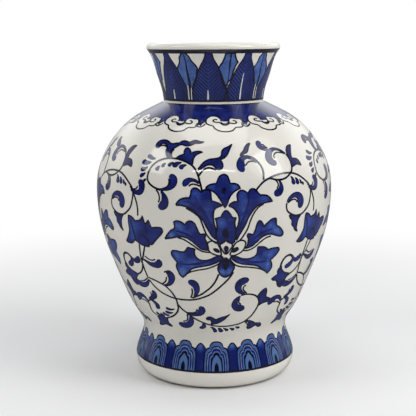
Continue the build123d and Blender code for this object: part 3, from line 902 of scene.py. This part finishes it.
petalSpots = [
    # left middle petal
    (-20, 143.5, 4, 0.9), (-16.5, 152, 5, 0.7), (-13, 146, 5, 0.45), (-9.5, 149, 5, 0.25),
    # left low petal
    (-16.5, 111, 6, 0.95), (-17.5, 126, 6, 0.75), (-10.5, 119, 6, 0.7), (-4, 119.5, 4, 0.5),
    # right middle petal
    (30.5, 145, 5, 0.8), (26.5, 150, 5, 0.65), (20.5, 149, 4, 0.3), (20, 141, 4, 0.4),
    # right low petal
    (27.5, 114, 6, 0.8), (28.5, 126, 6, 0.75), (20, 120.5, 6, 0.7), (13, 120.5, 4, 0.5),
    # upper petals
    (-13, 171, 5, 0.55), (-7.5, 178, 5, 0.5), (-3.5, 168, 5, 0.45), (-1.5, 158, 4, 0.35),
    (22.5, 173, 5, 0.6), (13, 176, 5, 0.5), (13.5, 165, 5, 0.4), (12.8, 157, 4, 0.3),
    (-0.5, 184, 4, 0.6), (9.5, 184, 4, 0.6), (4.8, 177, 3, 0.3), (4.5, 191, 3, 0.4),
    (3.2, 155, 4, 0.75), (3, 146, 3, 0.5), (7.5, 156, 4, 0.2),
    # drop under the heart
    (3.5, 112, 4, 0.9), (8, 112, 4, 0.9),
]


hookLines = [smoothLine(body) * (1, 1, scrollSet["hookWidth"]) for body, _ in hooks]
hookLines += [smoothLine(points, 0.6) * (1, 1, scrollSet["combWidth"]) for points in combs]
leafOutlines = [outlineOf(points) for points in leaves]
petalOutlines = [outlineOf(points) for points in petals]
ovalOutlines = [outlineOf(points) for points in heartOvals]

vineLines = [stroke(points, scrollSet["vine"]) for points in stems]
vineLines += [stroke(points, scrollSet["edge"]) for _, points in hooks if points]
vineLines += [stroke(points, scrollSet["edge"]) for points in leafVeins]
vineLines += [edgeStroke(points, scrollSet["edge"]) for points in leafOutlines]
turns = scrollSet["repeats"]
paintPiece("scroll_lines", vineLines, "cobaltOutline", scrollSet["lineLift"], turns)
hookBodies = [ribbon(line, 4) for line in hookLines]
hookBlues = [ribbon(line, 3, scrollSet["hookEdge"]) for line in hookLines]
paintPiece("scroll_hooks", hookBodies, "cobaltOutline", scrollSet["hookLift"], turns)
paintPiece("scroll_hook_blue", hookBlues, "cobaltDeep", scrollSet["blueLift"], turns, base=0.1)
leafFills = [filled(points) for points in leafOutlines]
paintPiece("scroll_leaves", leafFills, "cobaltDeep", scrollSet["leafLift"], turns, leafSpots, 0.12)
flowerLines = [edgeStroke(points, scrollSet["edge"]) for points in petalOutlines + ovalOutlines]
flowerLines += [stroke(points, scrollSet["edge"]) for points in margins]
paintPiece("flower_lines", flowerLines, "cobaltOutline", scrollSet["lineLift"], turns)
petalFills = [filled(points) for points in petalOutlines]
paintPiece("flower_petals", petalFills, "cobaltWash", scrollSet["leafLift"], turns, petalSpots, -0.04)
strokeLines = [ribbon(smoothLine(points), 2) for points in petalStrokes]
paintPiece("flower_strokes", strokeLines, "cobaltDeep", scrollSet["strokeLift"], turns)
heartFills = [filled(outlineOf(points)) for points in heartDrops]
paintPiece("flower_heart", heartFills, "cobaltOutline", scrollSet["heartLift"], turns)
print("scrolls and flowers painted")


# collar of clouds under the neck
collarSet = {
    "repeats": 12,
    "top": 246.3,  # height of the blue's upper edge
    "line": 0.74,  # half width of the lines round the clouds
    "rings": ((246.2, 246.9), (248.7, 250.3)),
    "blueLift": 0.05,
    "ringLift": 0.07,
    "lineLift": 0.09,
}
collarEdge = [
    (-7.8, 232.3), (-6, 233.5), (-5.2, 235.2), (-4.8, 236.3), (-3, 237.6), (-0.5, 238), (2, 237.6),
    (4, 236.7), (5, 235.3), (5.6, 234.3), (7.5, 234.1), (9.3, 234.1), (10.2, 234.3), (10.6, 235.3),
    (11.8, 236.1), (14, 236.3), (16.5, 235.9), (18.5, 235.8), (19.6, 235.2), (19.9, 233.5), (20.3, 231.8),
    (22, 230.6),
]
cloudLines = [
    [(-4.9, 236), (-5.3, 234.3), (-4.8, 232.9), (-3.3, 231.9), (-1.7, 231.3), (-0.5, 231), (0.2, 230),
     (0.9, 228.9), (2.3, 227.9), (4, 227.1), (6, 226.6), (8, 226.6), (10, 226.9), (11.8, 227.6),
     (13, 228.8), (14, 229.6), (15.8, 229.7), (17.5, 229.8), (18.7, 230.4), (19.7, 231.9), (20, 233.8),
     (19.7, 235.2)],
    [(-4.9, 236), (-4, 237.1), (-2, 238.1), (0.5, 238.2), (3, 237.6), (4.6, 236.4), (5.2, 235.2),
     (4.8, 234.2)],
    [(2.6, 235.3), (1.3, 235.7), (0, 235.3), (-0.3, 234.5), (0.6, 233.9), (2.2, 233.5), (3.8, 233.5),
     (4.8, 232.9), (5.6, 232), (6.8, 231.4), (8.3, 231.5), (9.4, 232), (10.2, 232.8), (10.9, 233),
     (12.5, 232.6), (14, 232.5), (15.2, 233), (15.3, 234), (14.3, 234.7), (13.2, 234.6)],
    [(10.4, 233), (10.3, 234.6), (11, 235.9), (12.5, 236.6), (14.5, 236.4), (16.5, 236), (18.5, 236),
     (19.7, 235.2)],
    [(4.7, 233.6), (6, 232.6), (7.8, 232.3), (9.5, 232.9), (10, 233.7)],
    [(-11.8, 231.8), (-10.3, 230.7), (-8.6, 230.1), (-7, 230.9), (-5.5, 232.3)],
    [(-11.5, 232.8), (-10, 232.2), (-8.5, 232.3), (-7.3, 233)],
]


def collarBottom(degrees):
    edge = np.array(collarEdge)
    return np.interp(degrees, edge[:, 0], edge[:, 1], period=360 / collarSet["repeats"])


collarBlue = [bandPatch(collarBottom, collarSet["top"], 1080, 7)]
cloudStrokes = [stroke(points, collarSet["line"]) for points in cloudLines]
collarRings = [bandPatch(low, high) for low, high in collarSet["rings"]]
paintPiece("collar_blue", collarBlue, "cobaltDeep", collarSet["blueLift"], base=0.1)
paintPiece("collar_lines", cloudStrokes, "cobaltOutline", collarSet["lineLift"], collarSet["repeats"])
paintPiece("collar_rings", collarRings, "cobaltOutline", collarSet["ringLift"])
print("collar painted")


# leaves up the neck
neckSet = {
    "darkLeaves": (-86, -46, -4, 32, 74, 114, 154, 194, 234),
    "paleLeaves": (-67, -26, 15.5, 51.5, 94, 134, 174, 214, 254),
    "base": 250.0,
    "veinStep": 3.3,
    "veinRise": 0.85,  # millimetres up for each degree outwards
    "veins": ((-1, 0.42), (1, 0.32)),  # side of the midrib, half width
    "paleLine": 0.72,
    "darkLine": 0.6,
    "band": (289.9, 293.3),
    "darkLift": 0.05,
    "veinLift": 0.075,
    "paleLift": 0.11,
    "lineLift": 0.13,
    "topLift": 0.15,
}
darkWidths = [
    (20.5, 250), (19, 256), (17, 261), (14.3, 266.5), (12.2, 271), (10, 276), (8, 279.5), (6, 282.5),
    (4, 286), (3, 290),
]
paleShapes = (
    [(-4.2, 288), (-5.5, 286.5), (-6.2, 283), (-8, 280), (-10.3, 277.5, 1), (-9, 273.5), (-7.3, 269.5),
     (-5.5, 265.5), (-3.2, 261.5), (-2.6, 257, 1), (3, 257, 1), (4, 261.3), (6, 265), (8, 268), (9.5, 271),
     (10.2, 275), (11, 277.5, 1), (9.7, 279.5), (7.5, 282), (5.7, 284), (4, 287.5), (1.5, 290), (-2.2, 290)],
    [(-4.8, 290, 1), (-5.5, 286.5), (-7.2, 282.5), (-9, 280), (-10.5, 277.8, 1), (-9, 273), (-7, 268),
     (-5, 263.5), (-3.2, 260, 1), (-1.8, 262.5), (-0.5, 266), (0.5, 266.8), (2.3, 268.5), (3, 271.5),
     (3.8, 274.5), (5, 278), (6, 280.5), (7.5, 282.3, 1), (6, 284), (4.8, 286), (3.5, 290, 1)],
)
paleMidribs = (
    [(-0.5, 289.5, 0.5), (0, 284, 0.6), (0.4, 275, 0.85), (1, 268, 1.15), (1.0, 262, 1.2), (0.3, 256, 0.8),
     (0.2, 250.5, 0.7)],
    [(0.2, 289.5, 0.7), (-0.1, 283, 0.75), (-0.3, 278, 0.7), (-0.6, 271, 0.4), (-1.5, 264, 0.3),
     (-3, 260.5, 0.3)],
)
paleStems = [
    [(-1.5, 263, 0.3), (-1.7, 257, 0.5), (-1.6, 250.6, 0.5)],
    [(2.2, 261, 0.25), (1.7, 256, 0.4), (1.6, 250.6, 0.4)],
]


def darkLeafWidth(height):
    table = np.array(darkWidths)
    return np.interp(height, table[:, 1], table[:, 0])


def darkLeaf(centre):
    right = [(centre + w, z) for w, z in darkWidths]
    left = [(centre - w, z) for w, z in darkWidths[::-1]]
    loop = []
    for low, *middle, high in (right, left):
        loop += [(*low, 1), *middle, (*high, 1)]
    return outlineOf(loop)


def leafVeinsOf(centre):
    # each vein leaves the midrib, climbs outwards and ends where the leaf is no wider than its reach
    lines = []
    reaches = np.arange(0.5, 21, 0.25)
    for start in np.arange(neckSet["base"] - 12, 284, neckSet["veinStep"]):
        inside = reaches[reaches < darkLeafWidth(start + neckSet["veinRise"] * reaches) - 0.5]
        for side, width in neckSet["veins"]:
            parts = np.array((0.05, 0.35, 0.7, 1.0)) * inside.max()
            line = [(centre - 1 + side * part, start + neckSet["veinRise"] * part, width) for part in parts]
            line = smoothLine(line, 1.6)
            lines.append(line[line[:, 1] > neckSet["base"] + 0.3])
    return [ribbon(line) for line in lines if len(line) > 3]


darkOutlines = [darkLeaf(centre) for centre in neckSet["darkLeaves"]]
paleOutlines = []
midribs = []
for i, centre in enumerate(neckSet["paleLeaves"]):
    kind = (i + 1) % 2
    paleOutlines.append(outlineOf([(centre + p[0], *p[1:]) for p in paleShapes[kind]]))
    midribs.append(stroke([(centre + a, z, w) for a, z, w in paleMidribs[kind]]))
leafLights = [(centre - 7, z, 11, 0.42) for centre in neckSet["darkLeaves"] for z in (255, 272)]
darkFills = [filled(points, 2.0) for points in darkOutlines]
paleFills = [filled(points, 2.0) for points in paleOutlines]
veins = [line for centre in neckSet["darkLeaves"] for line in leafVeinsOf(centre)]
neckLines = [edgeStroke(points, neckSet["paleLine"]) for points in paleOutlines]
neckLines += [edgeStroke(points, neckSet["darkLine"]) for points in darkOutlines] + midribs
whiteStems = [
    stroke([(c - 1.8, 250.6, 0.75), (c - 1.8, 256, 0.6), (c - 1.6, 259 if i % 3 else 273, 0.28)])
    for i, c in enumerate(neckSet["darkLeaves"])
]
for centre in neckSet["paleLeaves"][1::2]:
    whiteStems += [stroke([(centre + a, z, w) for a, z, w in points]) for points in paleStems]
paintPiece("neck_dark_leaves", darkFills, "cobaltDeep", neckSet["darkLift"], 1, leafLights, 0.12)
paintPiece("neck_pale_leaves", paleFills, "cobaltWash", neckSet["paleLift"], base=0.75)
paintPiece("neck_veins", veins, "cobaltOutline", neckSet["veinLift"])
paintPiece("neck_lines", neckLines, "cobaltOutline", neckSet["lineLift"])
paintPiece("neck_bands", [bandPatch(*neckSet["band"])], "cobaltOutline", neckSet["topLift"])
paintPiece("neck_white_stems", whiteStems, "whiteGlaze", neckSet["topLift"])
print("neck painted")


# band of lotus petals round the foot
footSet = {
    "repeats": 15,
    "centre": 1.3,  # degrees round to the middle of the front petal
    "base": 18.2,
    "crown": 43.2,
    "halfWidth": 8.9,
    "gapLine": 0.6,
    "line": (16.6, 18.3),  # heights of the line under the petals
    "gapLift": 0.03,
    "gapLineLift": 0.045,
    "lineLift": 0.16,
}
archShape = [
    (8.9, 18.2), (8.9, 31), (8.5, 34.6), (7.2, 37.0), (5.2, 37.9, 1), (4.7, 40.2), (3.2, 42.3), (1.4, 43.1),
]
pointShape = [(8.9, 18.2), (8.8, 28), (8.0, 33.5), (5.6, 37.8), (3.0, 40.6), (1.2, 42.6)]
footLayers = [
    # shape, crown height, half width, finish, lift, wash
    (archShape, 43.2, 9.2, "cobaltOutline", 0.060, 0),
    (archShape, 42.0, 8.3, "cobaltWash", 0.072, 0.80),
    (archShape, 39.0, 7.2, "cobaltOutline", 0.084, 0),
    (archShape, 38.0, 6.5, "cobaltWash", 0.096, 1.60),
    (archShape, 37.0, 5.9, "cobaltWash", 0.108, 0.10),
    (archShape, 34.8, 4.9, "cobaltWash", 0.120, 1.25),
    (archShape, 33.6, 4.2, "cobaltOutline", 0.132, 0),
    (pointShape, 31.6, 3.3, "cobaltWash", 0.144, 1.05),
    (pointShape, 25.5, 1.5, "cobaltOutline", 0.156, 0),
]


def archOutline(shape, crown, halfWidth):
    # the shape drawn for the outermost arch, squeezed to its own half width and crown
    tall = (crown - footSet["base"]) / (footSet["crown"] - footSet["base"])
    right = [
        (a * halfWidth / footSet["halfWidth"], footSet["base"] + (z - footSet["base"]) * tall, *mark)
        for a, z, *mark in shape
    ]
    right[0] = (*right[0][:2], 1)
    top = (0, crown, 1) if shape is pointShape else (0, crown)
    loop = right + [top] + [(-a, z, *mark) for a, z, *mark in right[::-1]]
    return outlineOf([(p[0] + footSet["centre"], *p[1:]) for p in loop], 0.9)


gapPeak = [(7.2, 18.2, 1), (7.2, 34), (8.4, 36.6), (9.7, 38.8), (10.9, 40.5), (12, 41.1), (13.3, 40.3),
           (14.7, 38.4), (15.9, 36.4), (17.0, 34), (17.0, 18.2, 1)]
gapOutline = outlineOf([(p[0] + footSet["centre"], *p[1:]) for p in gapPeak], 0.9)
gapSpots = [(footSet["centre"] + 12, 39.0, 4.0, 0.85)]
gapLine = edgeStroke(gapOutline, footSet["gapLine"])
turns = footSet["repeats"]
paintPiece("foot_gaps", [filled(gapOutline, 2.0)], "cobaltWash", footSet["gapLift"], turns, gapSpots)
paintPiece("foot_gap_lines", [gapLine], "cobaltOutline", footSet["gapLineLift"], turns)
for number, (shape, crown, halfWidth, finish, lift, wash) in enumerate(footLayers):
    petal = filled(archOutline(shape, crown, halfWidth), 1.8)
    paintPiece(f"foot_petals_{number + 1}", [petal], finish, lift, turns, base=wash)
paintPiece("foot_line", [bandPatch(*footSet["line"])], "cobaltOutline", footSet["lineLift"])
print("foot painted")


# floor and air of the studio
studioSet = {
    "floorRadius": 3.2,
    "floorCorners": 96,
    "mattWithin": 0.16,  # the floor is matt out to here, in metres from the axis
    "glowBeyond": 0.75,
    "mirrored": 0.12,  # how bright the floor looks in reflections, and how far that takes its place
    "mirroredShare": 0.85,
    "airBase": 0.6,
    "airRise": 1.1,
    "airLeast": 0.02,
}


def studioFloor():
    # matt and pale by the vase, a white glow further off, so that no edge shows, and dim in reflections
    material, wire = newMaterial("studioFloor")
    place = wire.node("ShaderNodeTexCoord", output=3)
    length = place.node("ShaderNodeVectorMath", {"operation": "LENGTH"}, {0: place}, 1)
    far = length.between(studioSet["mattWithin"], studioSet["glowBeyond"])
    tone = place.noise(6, 2.0).mixed((0.85, 0.85, 0.85), (0.87, 0.87, 0.875))
    matt = wire.node("ShaderNodeBsdfDiffuse", {}, {"Color": tone})
    glow = wire.node("ShaderNodeEmission", {}, {"Color": (1, 1, 1, 1), "Strength": 1.0})
    seen = wire.node("ShaderNodeMixShader", {}, {0: far, 1: matt, 2: glow})
    dim = wire.node("ShaderNodeEmission", {}, {"Color": (1, 1, 1, 1), "Strength": studioSet["mirrored"]})
    share = wire.node("ShaderNodeLightPath", output=3) * studioSet["mirroredShare"]
    shader = wire.node("ShaderNodeMixShader", {}, {0: share, 1: seen, 2: dim})
    wire.node("ShaderNodeOutputMaterial", {}, {"Surface": shader})
    return material


def studioAir():
    # white where the camera looks past the floor; as light it is dimmer, and brightest behind the vase
    world = bpy.data.worlds.new("studioAir")
    world.use_nodes = True
    world.node_tree.nodes.clear()
    wire = Wire(world.node_tree)
    place = wire.node("ShaderNodeTexCoord")
    back = wire.node("ShaderNodeSeparateXYZ", {}, {0: place}, 1).between(-0.1, 0.5)
    height = wire.node("ShaderNodeSeparateXYZ", {}, {0: place}, 2)
    low = 1 - height.between(0.45, 0.8)
    rise = height.between(0.05, 0.42) * studioSet["airRise"] + studioSet["airBase"]
    strength = back * low * rise + studioSet["airLeast"]
    air = wire.node("ShaderNodeBackground", {}, {"Color": (0.97, 0.98, 1.0, 1), "Strength": strength})
    white = wire.node("ShaderNodeBackground", {}, {"Color": (1, 1, 1, 1), "Strength": 1.0})
    seen = wire.node("ShaderNodeLightPath")
    mixed = wire.node("ShaderNodeMixShader", {}, {0: seen, 1: air, 2: white})
    wire.node("ShaderNodeOutputWorld", {}, {"Surface": mixed})
    scene.world = world


corners = studioSet["floorCorners"]
angle = np.linspace(0, 2 * np.pi, corners, endpoint=False)
ring = np.stack((np.cos(angle), np.sin(angle), np.zeros(corners)), 1) * studioSet["floorRadius"]
floorMesh = bpy.data.meshes.new("floor")
floorMesh.from_pydata(ring.tolist(), [], [list(range(corners))])
floorMesh.materials.append(studioFloor())
floor = bpy.data.objects.new("floor", floorMesh)
scene.collection.objects.link(floor)
studioAir()
print("floor and air set")
